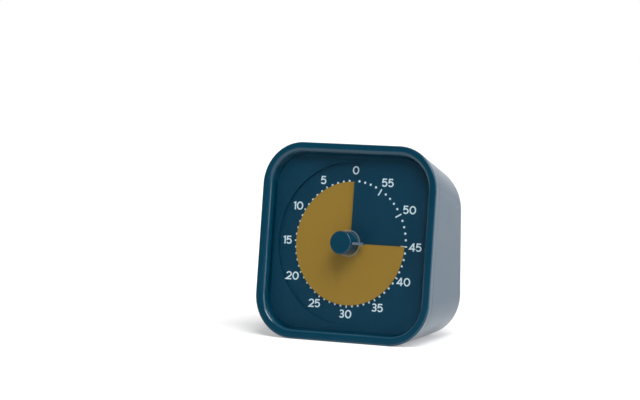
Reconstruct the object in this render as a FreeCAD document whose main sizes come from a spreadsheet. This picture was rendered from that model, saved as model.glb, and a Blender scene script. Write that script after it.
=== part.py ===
import FreeCAD, Part
import math
import os
import Sketcher
from FreeCAD import Placement, Rotation, Vector

# A 60-minute visual countdown timer on a table.
# The row frame has +Z up, the front facing -Y, and its origin in the middle of the flat base.
# Most pieces are drawn in the face frame: origin in the middle of the rim plane, X to the right,
# Y up the leaning face and Z out of it, so a depth behind the rim is a negative Z.

os.makedirs("parts", exist_ok=True)
doc = FreeCAD.newDocument("countdown_timer")
sheet = doc.addObject("Spreadsheet::Sheet", "Sizes")


# A length that knows both its number and the sheet expression behind it
class Size:
    def __init__(self, text, number):
        self.text = text
        self.number = number

    def __add__(self, other):
        other = as_size(other)
        return Size(f"({self.text} + {other.text})", self.number + other.number)

    def __sub__(self, other):
        other = as_size(other)
        return Size(f"({self.text} - {other.text})", self.number - other.number)

    def __mul__(self, other):
        other = as_size(other)
        return Size(f"({self.text} * {other.text})", self.number * other.number)

    def __truediv__(self, other):
        other = as_size(other)
        return Size(f"({self.text} / {other.text})", self.number / other.number)

    def __neg__(self):
        return Size(f"(0 - {self.text})", -self.number)


def as_size(value):
    if isinstance(value, Size):
        return value
    return Size(repr(float(value)), float(value))


def sine(angle):
    return Size(f"sin({angle.text})", math.sin(math.radians(angle.number)))


def cosine(angle):
    return Size(f"cos({angle.text})", math.cos(math.radians(angle.number)))


sheet_rows = []


# One driving dimension: a row of the sheet with its name, number and meaning
def driving(alias, number, meaning):
    row = len(sheet_rows) + 1
    sheet_rows.append(alias)
    sheet.set(f"A{row}", meaning)
    sheet.set(f"B{row}", str(number))
    sheet.setAlias(f"B{row}", alias)
    return Size(f"Sizes.{alias}", float(number))


# Driving dimensions, in millimetres and degrees
face_w = driving("face_w", 90.1, "width of the front edge")
face_tall = driving("face_tall", 90.8, "length of the face, measured up its slope")
face_round = driving("face_round", 20.0, "corner radius of the front edge")
lean = driving("lean", 7.3, "backward lean of the face")
rear_w = driving("rear_w", 78.5, "width of the upright rear wall")
rear_tall = driving("rear_tall", 78.5, "height of the rear wall")
rear_round = driving("rear_round", 20.3, "corner radius of the rear wall")
base_deep = driving("base_deep", 47.0, "depth of the flat base")
wall = driving("wall", 2.0, "wall of the housing")
bury = driving("bury", 0.5, "start of a post or foot inside the wall it grows from")
sole = driving("sole", 0.02, "trimmed off under the base, so that it is a true plane")
seam = driving("seam", 4.4, "depth of the parting seam behind the rim")
seam_groove = driving("seam_groove", 0.3, "chamfer that makes the seam a thin line")
rim_edge = driving("rim_edge", 0.75, "outer edge radius of the rim")
rear_edge = driving("rear_edge", 2.5, "edge radius round the rear wall")
rim_band = driving("rim_band", 4.5, "outer edge to the wall inside the rim")
rim_roll = driving("rim_roll", 1.8, "rolled inner edge of the rim")
ledge = driving("ledge", 1.0, "ledge that carries the lens")
lip_inset = driving("lip_inset", 3.65, "locating lip and dial in from the front edge")
lens_thick = driving("lens_thick", 0.9, "clear lens")
lens_back = driving("lens_back", 4.0, "back of the lens behind the rim")
lens_fit = driving("lens_fit", 0.1, "lens edge to the frame")
lens_hole = driving("lens_hole", 5.75, "radius of the hole in the lens")
lens_bevel = driving("lens_bevel", 0.3, "bevel of the hole in the lens")
dial_face = driving("dial_face", 5.0, "flat dial surround behind the rim")
dial_thick = driving("dial_thick", 0.6, "sheet of the dial")
ramp_lead = driving("ramp_lead", 1.6, "rise of the dial ramp in one turn")
ramp_r = driving("ramp_r", 37.5, "outer radius of the dial ramp")
skirt = driving("skirt", 0.8, "skirt that joins the ramp to the surround")
dial_hole = driving("dial_hole", 5.0, "hole in the dial for the disk hub")
dial_slit = driving("dial_slit", 0.8, "slit at twelve that the disk threads through")
step_inset = driving("step_inset", 0.1, "landing's cut short of the ramp's edge")
tile_over = driving("tile_over", 0.2, "landing's tile past the ramp's edge")
disk_r = driving("disk_r", 28.3, "radius of the coloured disk")
disk_thick = driving("disk_thick", 0.3, "film of the coloured disk")
hub_r = driving("hub_r", 4.6, "radius of the disk hub")
hub_over = driving("hub_over", 0.25, "hub beyond the film at each end")
disk_start = driving("disk_start", 0.75, "part of a turn that the disk shows at rest")
knob_r = driving("knob_r", 5.35, "radius of the knob")
knob_tip = driving("knob_tip", 4.1, "knob above the rim plane")
knob_foot = driving("knob_foot", 3.7, "foot of the knob behind the rim plane")
knob_edge = driving("knob_edge", 0.45, "edge radius of the knob")
fin_thick = driving("fin_thick", 1.15, "thickness of the pointer fin")
fin_reach = driving("fin_reach", 8.9, "reach of the pointer fin from the axis")
fin_foot = driving("fin_foot", 2.6, "foot of the fin behind the rim plane")
fin_root = driving("fin_root", 4.2, "root of the fin inside the knob, from the axis")
spindle_r = driving("spindle_r", 1.5, "radius of the spindle")
key_flat = driving("key_flat", 1.1, "flat on the spindle, from its axis")
run_fit = driving("run_fit", 0.06, "running clearance of shafts")
case_front = driving("case_front", 8.7, "front of the movement case behind the rim")
case_back = driving("case_back", 22.0, "back of the movement case behind the rim")
case_w = driving("case_w", 48.0, "width of the movement case")
case_tall = driving("case_tall", 40.0, "height of the movement case")
case_wall = driving("case_wall", 1.5, "wall of the movement case")
ear_x = driving("ear_x", 38.8, "fixing screws of the movement, from the axis")
ear_r = driving("ear_r", 2.2, "round end of a fixing ear")
module_large = driving("module_large", 0.4, "gear module of the centre wheel")
module_small = driving("module_small", 0.25, "gear module of the other wheels")
gear_thick = driving("gear_thick", 1.0, "thickness of a gear wheel")
arbor_r = driving("arbor_r", 0.5, "radius of an arbor")
boss_x = driving("boss_x", 33.8, "housing bosses from the middle")
boss_y = driving("boss_y", 21.0, "housing bosses up and down the face")
boss_r = driving("boss_r", 3.0, "radius of a housing boss")
boss_front = driving("boss_front", 11.0, "front of a housing boss behind the rim")
post_r = driving("post_r", 2.4, "radius of a screw post on the dial")
screw_r = driving("screw_r", 1.0, "radius of a screw")
screw_head = driving("screw_head", 2.0, "radius of a screw head")
screw_seat = driving("screw_seat", 20.0, "seat of a housing screw head behind the rim")
screw_tip = driving("screw_tip", 6.5, "tip of a housing screw behind the rim")
cell_r = driving("cell_r", 7.25, "radius of the cell")
cell_long = driving("cell_long", 50.5, "length of the cell with its button")
cell_y = driving("cell_y", 12.0, "cell axis behind the middle of the base")
cell_z = driving("cell_z", 18.2, "height of the cell axis")
door_w = driving("door_w", 60.6, "width of the battery opening")
door_low = driving("door_low", 9.0, "bottom of the battery opening")
door_high = driving("door_high", 28.0, "top of the battery opening")
door_gap = driving("door_gap", 0.3, "gap round the battery door")
knuckle_r = driving("knuckle_r", 1.6, "radius of the door's hinge edge")
pin_r = driving("pin_r", 0.8, "radius of the door's hinge pins")
board_y = driving("board_y", 12.0, "front of the circuit board")
board_thick = driving("board_thick", 1.6, "thickness of the circuit board")
wheel_r = driving("wheel_r", 9.0, "radius of the volume wheel")
wheel_thick = driving("wheel_thick", 2.4, "thickness of the volume wheel")
wheel_x = driving("wheel_x", 21.7, "middle of the volume wheel from the middle")
wheel_z = driving("wheel_z", 52.0, "height of the volume wheel's axis")
wheel_proud = driving("wheel_proud", 1.1, "volume wheel beyond the rear wall")
sound_x = driving("sound_x", -8.0, "sounder from the middle")
sound_z = driving("sound_z", 54.0, "height of the sounder")
sound_r = driving("sound_r", 11.0, "radius of the sounder")
doc.recompute()

# Sizes worked out from the driving dimensions
half_base = base_deep / 2
face_half_w = face_w / 2
face_half_tall = face_tall / 2
face_mid_y = face_half_tall * sine(lean) - half_base
face_mid_z = face_half_tall * cosine(lean)
dial_low = dial_face + ramp_lead
disk_tail = dial_low + dial_thick / 2 - ramp_lead / 2 + ramp_lead * (as_size(1) - disk_start)
opening_half_w = face_half_w - rim_band
opening_half_tall = face_half_tall - rim_band
case_half_w = case_w / 2
case_half_tall = case_tall / 2
wheel_y = half_base + wheel_proud - wheel_r
rear_inner = half_base - wall

# Where the face frame stands in the row frame
face_place = Placement(
    Vector(0, face_mid_y.number, face_mid_z.number),
    Rotation(Vector(1, 0, 0), 90 - lean.number),
)
# The upright frame shares its X and has Y up and Z to the front, so a depth in it is a row Y
upright_place = Placement(Vector(), Rotation(Vector(1, 0, 0), 90))


# Helpers that bind a property of an object to the sheet
def bind(item, prop, size):
    item.setExpression(prop, as_size(size).text)


def new_body(label, place):
    body = doc.addObject("PartDesign::Body", label)
    body.Label = label
    body.Placement = place
    return body


def origin_item(body, role):
    for item in body.Origin.OriginFeatures:
        if item.Role == role:
            return item
    raise ValueError(role)


# A sketch on one of the body's own planes, lifted along the plane's normal
def new_sketch(body, role="XY_Plane", lift=0, turn=0):
    sketch = body.newObject("Sketcher::SketchObject", f"{body.Label}_sketch")
    sketch.AttachmentSupport = (origin_item(body, role), [""])
    sketch.MapMode = "FlatFace"
    lift = as_size(lift)
    sketch.AttachmentOffset = Placement(Vector(0, 0, lift.number), Rotation(Vector(0, 0, 1), turn))
    bind(sketch, "AttachmentOffset.Base.z", lift)
    return sketch


# Hold one point of a sketch at x, y from the sketch's origin
def hold(sketch, geometry, end, x, y):
    for kind, axis, size in (("DistanceX", -2, as_size(x)), ("DistanceY", -1, as_size(y))):
        if abs(size.number) < 1e-9:
            sketch.addConstraint(Sketcher.Constraint("PointOnObject", geometry, end, axis))
        elif size.number > 0:
            index = sketch.addConstraint(Sketcher.Constraint(kind, -1, 1, geometry, end, size.number))
            bind(sketch, f"Constraints[{index}]", size)
        else:
            index = sketch.addConstraint(Sketcher.Constraint(kind, geometry, end, -1, 1, -size.number))
            bind(sketch, f"Constraints[{index}]", -size)


def circle(sketch, radius, x=0, y=0):
    radius = as_size(radius)
    middle = Vector(as_size(x).number, as_size(y).number, 0)
    index = sketch.addGeometry(Part.Circle(middle, Vector(0, 0, 1), radius.number))
    rule = sketch.addConstraint(Sketcher.Constraint("Radius", index, radius.number))
    bind(sketch, f"Constraints[{rule}]", radius)
    hold(sketch, index, 3, x, y)


def polygon(sketch, corners):
    spots = [Vector(as_size(x).number, as_size(y).number, 0) for x, y in corners]
    first = sketch.GeometryCount
    count = len(corners)
    for index in range(count):
        sketch.addGeometry(Part.LineSegment(spots[index], spots[(index + 1) % count]))
    for index in range(count):
        after = first + (index + 1) % count
        sketch.addConstraint(Sketcher.Constraint("Coincident", first + index, 2, after, 1))
    for index, (x, y) in enumerate(corners):
        hold(sketch, first + index, 1, x, y)


def box_outline(sketch, low_x, high_x, low_y, high_y):
    polygon(sketch, [(low_x, low_y), (high_x, low_y), (high_x, high_y), (low_x, high_y)])


# A rectangle with round corners about x = 0, from low to high
def round_outline(sketch, half, low, high, radius):
    half = as_size(half)
    low = as_size(low)
    high = as_size(high)
    radius = as_size(radius)
    w, b, t, r = half.number, low.number, high.number, radius.number
    first = sketch.GeometryCount
    sides = [
        (Vector(-w + r, b, 0), Vector(w - r, b, 0)),
        (Vector(w, b + r, 0), Vector(w, t - r, 0)),
        (Vector(w - r, t, 0), Vector(-w + r, t, 0)),
        (Vector(-w, t - r, 0), Vector(-w, b + r, 0)),
    ]
    centres = [(w - r, b + r), (w - r, t - r), (-w + r, t - r), (-w + r, b + r)]
    for index, (start, end) in enumerate(sides):
        sketch.addGeometry(Part.LineSegment(start, end))
        x, y = centres[index]
        corner = Part.Circle(Vector(x, y, 0), Vector(0, 0, 1), r)
        begin = math.radians(90 * index - 90)
        sketch.addGeometry(Part.ArcOfCircle(corner, begin, begin + math.pi / 2))
    for index in range(8):
        here = first + index
        after = first + (index + 1) % 8
        sketch.addConstraint(Sketcher.Constraint("Tangent", here, 2, after, 1))
    for index, kind in ((0, "Horizontal"), (2, "Vertical"), (4, "Horizontal"), (6, "Vertical")):
        sketch.addConstraint(Sketcher.Constraint(kind, first + index))
    for index in (3, 5, 7):
        sketch.addConstraint(Sketcher.Constraint("Equal", first + 1, first + index))
    rule = sketch.addConstraint(Sketcher.Constraint("Radius", first + 1, r))
    bind(sketch, f"Constraints[{rule}]", radius)
    hold_one(sketch, "DistanceX", first + 2, half)
    hold_one(sketch, "DistanceX", first + 6, -half)
    hold_one(sketch, "DistanceY", first, low)
    hold_one(sketch, "DistanceY", first + 4, high)


# Hold a line's start at one distance from the sketch's origin
def hold_one(sketch, kind, geometry, size):
    if size.number > 0:
        rule = Sketcher.Constraint(kind, -1, 1, geometry, 1, size.number)
        index = sketch.addConstraint(rule)
        bind(sketch, f"Constraints[{index}]", size)
    else:
        rule = Sketcher.Constraint(kind, geometry, 1, -1, 1, -size.number)
        index = sketch.addConstraint(rule)
        bind(sketch, f"Constraints[{index}]", -size)


# Pad away from the viewer (into the timer) or towards the sketch's own normal
def pad(body, sketch, length, back=True):
    feature = body.newObject("PartDesign::Pad", f"{body.Label}_pad")
    feature.Profile = sketch
    bind(feature, "Length", length)
    feature.Reversed = back
    return feature


# Pocket against the sketch's normal, or along it
def pocket(body, sketch, length, forward=False):
    doc.recompute()
    before = body.Shape.Volume
    feature = body.newObject("PartDesign::Pocket", f"{body.Label}_pocket")
    feature.Profile = sketch
    bind(feature, "Length", length)
    feature.Reversed = forward
    doc.recompute()
    if body.Shape.Volume > before - 1e-4:
        raise ValueError(f"{feature.Name} cuts nothing")
    return feature


def round_edges(body, radius, wanted):
    doc.recompute()
    base = body.Tip
    names = [f"Edge{index + 1}" for index, edge in enumerate(base.Shape.Edges) if wanted(edge)]
    feature = body.newObject("PartDesign::Fillet", f"{body.Label}_fillet")
    feature.Base = (base, names)
    bind(feature, "Radius", radius)
    return feature


# Repeat one feature round the body's Z
def add_pattern(body, feature, count):
    doc.recompute()
    ring = body.newObject("PartDesign::PolarPattern", f"{body.Label}_ring")
    ring.Originals = [feature]
    ring.Axis = (origin_item(body, "Z_Axis"), [""])
    ring.Angle = 360
    ring.Occurrences = count
    body.Tip = ring
    doc.recompute()


def bevel_edges(body, size, wanted):
    doc.recompute()
    base = body.Tip
    names = [f"Edge{index + 1}" for index, edge in enumerate(base.Shape.Edges) if wanted(edge)]
    feature = body.newObject("PartDesign::Chamfer", f"{body.Label}_chamfer")
    feature.Base = (base, names)
    bind(feature, "Size", size)
    return feature


# True for an edge that lies in one plane across the body's Z
# Edges this close, in mm, to where a test looks for them are taken
near_enough = 0.01


def at_height(height):
    def test(edge):
        box = edge.BoundBox
        return abs(box.ZMin - height) < 1e-3 and abs(box.ZMax - height) < 1e-3
    return test


# A plain solid between two depths behind the rim
def plate(label, near, far, draw, place=face_place):
    body = new_body(label, place)
    sketch = new_sketch(body, lift=-near)
    draw(sketch)
    pad(body, sketch, far - near)
    return body


# A cylinder along the face frame's Z between two depths
def add_round(body, radius, near, far, x=0, y=0):
    sketch = new_sketch(body, lift=-as_size(near))
    circle(sketch, radius, x, y)
    return pad(body, sketch, as_size(far) - near)


# Where a point of the row frame, given by its Y and Z, stands in the face frame
def to_face(y, z):
    back = as_size(y) - face_mid_y
    up = as_size(z) - face_mid_z
    return back * sine(lean) + up * cosine(lean), up * sine(lean) - back * cosine(lean)


# Depth of the upright plane at a row Y behind the rim, at one height on the face
def depth_of(row_y, face_y):
    return (as_size(row_y) - face_mid_y - as_size(face_y) * sine(lean)) / cosine(lean)


# An upright sketch inside a body of the face frame: X to the right, Y from the table up
def upright_sketch(body, row_y):
    sketch = new_sketch(body)
    sketch.AttachmentOffset = Placement(Vector(), Rotation(Vector(1, 0, 0), lean.number))
    bind(sketch, "AttachmentOffset.Rotation.Angle", lean)
    up, out = to_face(row_y, 0)
    bind(sketch, "AttachmentOffset.Base.y", up)
    bind(sketch, "AttachmentOffset.Base.z", out)
    return sketch


# The shell narrows from the leaning front edge to the upright rear wall
def shell_loft(body, kind, inset, below=0):
    inset = as_size(inset)
    below = as_size(below)
    front = new_sketch(body)
    half_tall = face_half_tall - inset
    round_outline(front, face_half_w - inset, -(half_tall + below), half_tall, face_round - inset)
    rear = upright_sketch(body, half_base - inset)
    round_outline(rear, rear_w / 2 - inset, inset - below, rear_tall - inset, rear_round - inset)
    feature = body.newObject(f"PartDesign::{kind}", f"{body.Label}_loft")
    feature.Profile = front
    feature.Sections = [rear]
    feature.Ruled = True
    doc.recompute()
    return feature


# Trims a lofted wall underneath to a true plane, for the timer to stand on
def level_base(body):
    under = upright_sketch(body, -base_deep)
    box_outline(under, -face_w, face_w, -wall, 0)
    pocket(body, under, base_deep * 2)


# A rounded outline set in from the front edge
def face_outline(sketch, inset):
    half_tall = face_half_tall - inset
    round_outline(sketch, face_half_w - inset, -half_tall, half_tall, face_round - inset)


# Heat stakes that hold the dial to the frame
stake_r = driving("stake_r", 0.65, "radius of a heat stake")
stake_inset = driving("stake_inset", 4.45, "heat stakes in from the front edge")
stake_apart = driving("stake_apart", 12.0, "heat stakes either side of the middle")
stake_head = driving("stake_head", 0.5, "height of a stake's head")
stake_head_r = driving("stake_head_r", 1.05, "radius of a stake's head")
doc.recompute()


def stake_spots():
    side = face_half_w - stake_inset
    top = face_half_tall - stake_inset
    spots = []
    for along in (stake_apart, -stake_apart):
        spots += [(side, along), (-side, along), (along, top), (along, -top)]
    return spots


# Front frame: the rim, its rolled inner edge, the lens ledge, the locating lip and the stakes
def make_front_frame():
    body = new_body("front_frame", face_place)
    shell_loft(body, "AdditiveLoft", 0, sole)
    level_base(body)
    round_edges(body, rim_edge, at_height(0))
    behind = new_sketch(body, lift=-seam)
    box_outline(behind, -face_w, face_w, -face_tall, face_tall)
    pocket(body, behind, base_deep * 2)
    opening = new_sketch(body)
    face_outline(opening, rim_band)
    pocket(body, opening, lens_back)

    def inner_edge(edge):
        box = edge.BoundBox
        over_x = max(abs(box.XMin), abs(box.XMax)) - opening_half_w.number
        over_y = max(abs(box.YMin), abs(box.YMax)) - opening_half_tall.number
        return at_height(0)(edge) and max(over_x, over_y) < near_enough
    round_edges(body, rim_roll, inner_edge)
    lip = new_sketch(body, lift=-seam)
    face_outline(lip, lip_inset)
    pad(body, lip, dial_face - seam)
    through = new_sketch(body)
    face_outline(through, rim_band + ledge)
    pocket(body, through, dial_face * 2)
    stakes = new_sketch(body, lift=-dial_face)
    for x, y in stake_spots():
        circle(stakes, stake_r, x, y)
    pad(body, stakes, dial_thick)
    heads = new_sketch(body, lift=-(dial_face + dial_thick))
    for x, y in stake_spots():
        circle(heads, stake_head_r, x, y)
    pad(body, heads, stake_head)


# Clear lens with a bevelled hole for the knob
def make_lens():
    front = lens_back - lens_thick

    def draw(sketch):
        face_outline(sketch, rim_band + lens_fit)
        circle(sketch, lens_hole)
    body = plate("lens", front, lens_back, draw)

    def hole_edge(edge):
        return at_height(-front.number)(edge) and edge.BoundBox.XMax < lens_hole.number + near_enough
    bevel_edges(body, lens_bevel, hole_edge)


# A one-turn ramp round the face frame's Z, from a section drawn on one of the body's planes
def add_ramp(body, role, inner, outer, back, thick):
    sketch = new_sketch(body, role)
    box_outline(sketch, inner, outer, -(as_size(back)), -(as_size(back) - thick))
    ramp = body.newObject("PartDesign::AdditiveHelix", f"{body.Label}_ramp")
    ramp.Profile = sketch
    ramp.ReferenceAxis = (origin_item(body, "Z_Axis"), [""])
    ramp.Mode = "pitch-turns-angle"
    bind(ramp, "Pitch", ramp_lead)
    ramp.Turns = 1
    ramp.Angle = 0
    return ramp


# Where the four housing screws and the two movement screws stand
def boss_spots():
    return [(boss_x, boss_y), (-boss_x, boss_y), (boss_x, -boss_y), (-boss_x, -boss_y)]


def ear_spots():
    return [(ear_x, 0), (-ear_x, 0)]


zero_step = driving("zero_step", 2.6, "low landing of the ramp right of the zero")
disk_clear = driving("disk_clear", 0.9, "slit beyond the disk's edge")
small_screw_r = driving("small_screw_r", 0.8, "radius of a small screw")
small_head_r = driving("small_head_r", 1.5, "head radius of a small screw")
screw_pilot = driving("screw_pilot", 0.02, "pilot hole wider than its screw, in radius")
doc.recompute()


# Dial plate: the flat surround, the ramp that sinks anticlockwise from twelve, and its posts
def make_dial_plate():
    body = new_body("dial_plate", face_place)
    sheet_back = dial_face + dial_thick
    low_back = dial_low + dial_thick
    surround = new_sketch(body, lift=-dial_face)
    face_outline(surround, lip_inset)
    circle(surround, ramp_r)
    pad(body, surround, dial_thick)
    ring = new_sketch(body, lift=-dial_face)
    circle(ring, ramp_r + skirt)
    circle(ring, ramp_r)
    pad(body, ring, low_back - dial_face)
    add_ramp(body, "YZ_Plane", dial_hole, ramp_r + skirt / 2, low_back, dial_thick)
    step = new_sketch(body, lift=-dial_low)
    landing = disk_r + disk_clear
    box_outline(step, 0, zero_step, landing, ramp_r - step_inset)
    pocket(body, step, ramp_lead + dial_thick, forward=True)
    tile = new_sketch(body, lift=-dial_low)
    box_outline(tile, -dial_slit, zero_step, landing, ramp_r + tile_over)
    pad(body, tile, dial_thick)
    slit = new_sketch(body)
    box_outline(slit, -(dial_slit / 2), dial_slit / 2, dial_hole / 2, landing)
    pocket(body, slit, low_back * 2)
    posts = new_sketch(body, lift=-sheet_back)
    for x, y in boss_spots():
        circle(posts, post_r, x, y)
    pad(body, posts, boss_front - sheet_back)
    ears = new_sketch(body, lift=-sheet_back)
    for x, y in ear_spots():
        circle(ears, ear_r, x, y)
    pad(body, ears, case_front - sheet_back)
    pilots = new_sketch(body, lift=-boss_front)
    for x, y in boss_spots():
        circle(pilots, screw_r + screw_pilot, x, y)
    pocket(body, pilots, boss_front - sheet_back - dial_thick, forward=True)
    small_pilots = new_sketch(body, lift=-case_front)
    for x, y in ear_spots():
        circle(small_pilots, small_screw_r + screw_pilot, x, y)
    pocket(body, small_pilots, case_front - sheet_back - dial_thick / 2, forward=True)
    stakes = new_sketch(body, lift=-sheet_back)
    for x, y in stake_spots():
        circle(stakes, stake_r, x, y)
    pocket(body, stakes, dial_thick * 2, forward=True)


# Coloured disk: one turn of film with the dial's own lead, half a lead above the dial
def make_time_disk():
    body = new_body("time_disk", face_place)
    add_ramp(body, "XZ_Plane", hub_r, disk_r, disk_tail + disk_thick / 2, disk_thick)


# Hub of the disk, keyed to the flat of the spindle and free to slide along it
def make_disk_hub():
    body = new_body("disk_hub", face_place)
    near = disk_tail - ramp_lead - hub_over
    ring = new_sketch(body, lift=-near)
    circle(ring, hub_r)
    circle(ring, spindle_r + run_fit)
    pad(body, ring, ramp_lead + hub_over * 2)
    key = new_sketch(body, lift=-near)
    box_outline(key, key_flat + run_fit, spindle_r * 2, -spindle_r, spindle_r)
    pad(body, key, ramp_lead + hub_over * 2)


# Knob with a rounded tip, a blind bore and the pointer fin at three o'clock
def make_knob():
    body = new_body("knob", face_place)
    add_round(body, knob_r, -knob_tip, knob_foot)
    round_edges(body, knob_edge, at_height(knob_tip.number))
    bore = new_sketch(body, lift=-knob_foot)
    circle(bore, spindle_r)
    pocket(body, bore, knob_foot + spindle_r, forward=True)
    fin = new_sketch(body, "XZ_Plane", lift=-(fin_thick / 2))
    fin_top = knob_tip - knob_edge * 2
    corners = [
        (fin_root, -fin_foot),
        (fin_reach, -fin_foot),
        (fin_reach, -fin_foot + fin_thick),
        (knob_r + knob_edge, fin_top),
        (fin_root, fin_top),
    ]
    polygon(fin, corners)
    pad(body, fin, fin_thick, back=False)


collar_front = driving("collar_front", 11.1, "front of the spindle's collar")
collar_r = driving("collar_r", 3.0, "radius of the spindle's collar")
gear_front = driving("gear_front", 12.0, "front of the centre wheel")
slack = driving("slack", 0.05, "end play of the centre wheel")
spring_thick = driving("spring_thick", 0.6, "clutch spring")
spring_r = driving("spring_r", 4.0, "radius of the clutch spring")
spring_hole_r = driving("spring_hole_r", 0.5, "holes that soften the clutch spring")
spring_hole_x = driving("spring_hole_x", 2.72, "those holes from the axis")
cam_r = driving("cam_r", 6.0, "radius of the alarm cam")
cam_thick = driving("cam_thick", 1.2, "thickness of the alarm cam")
cam_notch = driving("cam_notch", 1.4, "notch of the alarm cam")
flat_end = driving("flat_end", 8.6, "end of the spindle's flat behind the rim")
doc.recompute()
gear_back = gear_front + gear_thick
spring_front = gear_back + slack
cam_front = spring_front + spring_thick


# Spindle: knob, disk hub, clutch and alarm cam all turn with it
def make_spindle():
    body = new_body("spindle", face_place)
    add_round(body, spindle_r, -spindle_r, case_back - slack)
    add_round(body, collar_r, collar_front, gear_front - slack)
    flat = new_sketch(body, lift=-(knob_foot + slack * 2))
    box_outline(flat, key_flat, spindle_r * 2, -(spindle_r * 2), spindle_r * 2)
    pocket(body, flat, flat_end - knob_foot)


# Friction spring that lets the knob be turned while the gear train stands still
def make_clutch_spring():
    def draw(sketch):
        circle(sketch, spring_r)
        circle(sketch, spindle_r)
        for turn in (1, -1):
            circle(sketch, spring_hole_r, spring_hole_x * turn, 0)
    plate("clutch_spring", spring_front, cam_front, draw)


# Cam whose notch closes the alarm contact when the disk has gone
def make_alarm_cam():
    def draw(sketch):
        circle(sketch, cam_r)
        circle(sketch, spindle_r)
    body = plate("alarm_cam", cam_front, cam_front + cam_thick, draw)
    notch = new_sketch(body, lift=-cam_front)
    box_outline(notch, -(cam_notch / 2), cam_notch / 2, cam_r - cam_notch, cam_r * 2)
    pocket(body, notch, cam_thick)


addendum = driving("addendum", 0.8, "tooth above the pitch circle, in modules")
dedendum = driving("dedendum", 1.15, "tooth below the pitch circle, in modules")
tooth_root = driving("tooth_root", 0.8, "half a tooth at its root, in modules")
tooth_tip = driving("tooth_tip", 0.32, "half a tooth at its tip, in modules")
tooth_sink = driving("tooth_sink", 0.3, "start of a tooth inside its disc, in modules")
doc.recompute()


# Toothed wheel about the body's Z between two depths; turn sets where the first tooth points
def add_teeth(body, near, far, teeth, module, turn, bore=None):
    root = module * (as_size(teeth / 2) - dedendum)
    tip = module * (as_size(teeth / 2) + addendum)
    disc = new_sketch(body, lift=-near)
    circle(disc, root)
    if bore is not None:
        circle(disc, bore)
    pad(body, disc, far - near)
    tooth = new_sketch(body, lift=-near, turn=turn)
    inner = root - module * tooth_sink
    wide = module * tooth_root
    narrow = module * tooth_tip
    polygon(tooth, [(inner, -wide), (tip, -narrow), (tip, narrow), (inner, wide)])
    add_pattern(body, pad(body, tooth, far - near), teeth)


# Places of the arbors in the face frame, found from the pitch circles
centre_teeth = 60
third_teeth = 64
seconds_teeth = 60
pinion_teeth = 8
third_apart = module_large * ((centre_teeth + pinion_teeth) / 2)
seconds_apart = module_small * ((third_teeth + pinion_teeth) / 2)
rotor_apart = module_small * ((seconds_teeth + pinion_teeth) / 2)
seconds_way = driving("seconds_way", 75.0, "way from the third wheel to the seconds wheel")
rotor_way = driving("rotor_way", 45.0, "way from the seconds wheel to the rotor")
doc.recompute()
third_x = -third_apart
third_y = as_size(0)
seconds_x = third_x + seconds_apart * cosine(seconds_way)
seconds_y = seconds_apart * sine(seconds_way)
rotor_x = seconds_x + rotor_apart * cosine(rotor_way)
rotor_y = seconds_y + rotor_apart * sine(rotor_way)
arbor_spots = [(third_x, third_y), (seconds_x, seconds_y), (rotor_x, rotor_y)]


# How far a wheel is turned so that a tooth points along one way, and a pinion so that a gap does
def tooth_turn(way, teeth):
    return way % (360 / teeth)


def gap_turn(way, teeth):
    return (way + 180 - 180 / teeth) % (360 / teeth)


def arbor_place(x, y):
    return face_place.multiply(Placement(Vector(x.number, y.number, 0), Rotation()))


# Centre wheel, turned by the train once an hour and free on the spindle but for its clutch
def make_centre_wheel():
    body = new_body("centre_wheel", face_place)
    turn = tooth_turn(180, centre_teeth)
    add_teeth(body, gear_front, gear_back, centre_teeth, module_large, turn, spindle_r + run_fit)


third_front = driving("third_front", 16.5, "front of the third wheel")
seconds_front = driving("seconds_front", 18.5, "front of the seconds wheel")
thin_gear = driving("thin_gear", 0.8, "thickness of the small wheels")
pinion_over = driving("pinion_over", 0.5, "pinion wider than its wheel at each side")
doc.recompute()


def add_arbor(body):
    add_round(body, arbor_r, case_front + slack * 2, case_back - slack * 2)


def make_third_wheel():
    body = new_body("third_wheel", arbor_place(third_x, third_y))
    add_arbor(body)
    near = gear_front - pinion_over
    far = gear_back + pinion_over
    add_teeth(body, near, far, pinion_teeth, module_large, gap_turn(180, pinion_teeth))
    turn = tooth_turn(seconds_way.number, third_teeth)
    add_teeth(body, third_front, third_front + thin_gear, third_teeth, module_small, turn)


def make_seconds_wheel():
    body = new_body("seconds_wheel", arbor_place(seconds_x, seconds_y))
    add_arbor(body)
    near = third_front - pinion_over
    far = third_front + thin_gear + pinion_over
    add_teeth(body, near, far, pinion_teeth, module_small, gap_turn(seconds_way.number, pinion_teeth))
    turn = tooth_turn(rotor_way.number, seconds_teeth)
    add_teeth(body, seconds_front, seconds_front + thin_gear, seconds_teeth, module_small, turn)


magnet_r = driving("magnet_r", 2.2, "radius of the rotor magnet")
magnet_front = driving("magnet_front", 14.0, "front of the rotor magnet")
magnet_back = driving("magnet_back", 17.4, "back of the rotor magnet")
pole_gap = driving("pole_gap", 0.4, "magnet to the stator")
stator_front = driving("stator_front", 15.0, "front of the stator")
stator_thick = driving("stator_thick", 1.0, "thickness of the stator")
core_thick = driving("core_thick", 1.6, "side of the coil's square core")
coil_start = driving("coil_start", 2.0, "left end of the coil bobbin")
coil_long = driving("coil_long", 16.0, "length of the coil bobbin")
coil_y = driving("coil_y", 14.8, "coil axis above the spindle")
flange_r = driving("flange_r", 3.2, "radius of the bobbin's flanges")
flange_thick = driving("flange_thick", 0.6, "thickness of the bobbin's flanges")
winding_r = driving("winding_r", 2.9, "radius of the winding")
doc.recompute()


def make_rotor():
    body = new_body("rotor", arbor_place(rotor_x, rotor_y))
    add_arbor(body)
    add_round(body, magnet_r, magnet_front, magnet_back)
    near = seconds_front - pinion_over / 2
    far = seconds_front + thin_gear + pinion_over / 2
    add_teeth(body, near, far, pinion_teeth, module_small, gap_turn(rotor_way.number, pinion_teeth))


# The stator's plate, as so many times the reach of its pole ring
stator_wide = 1.5
stator_tall = 1.25


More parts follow.
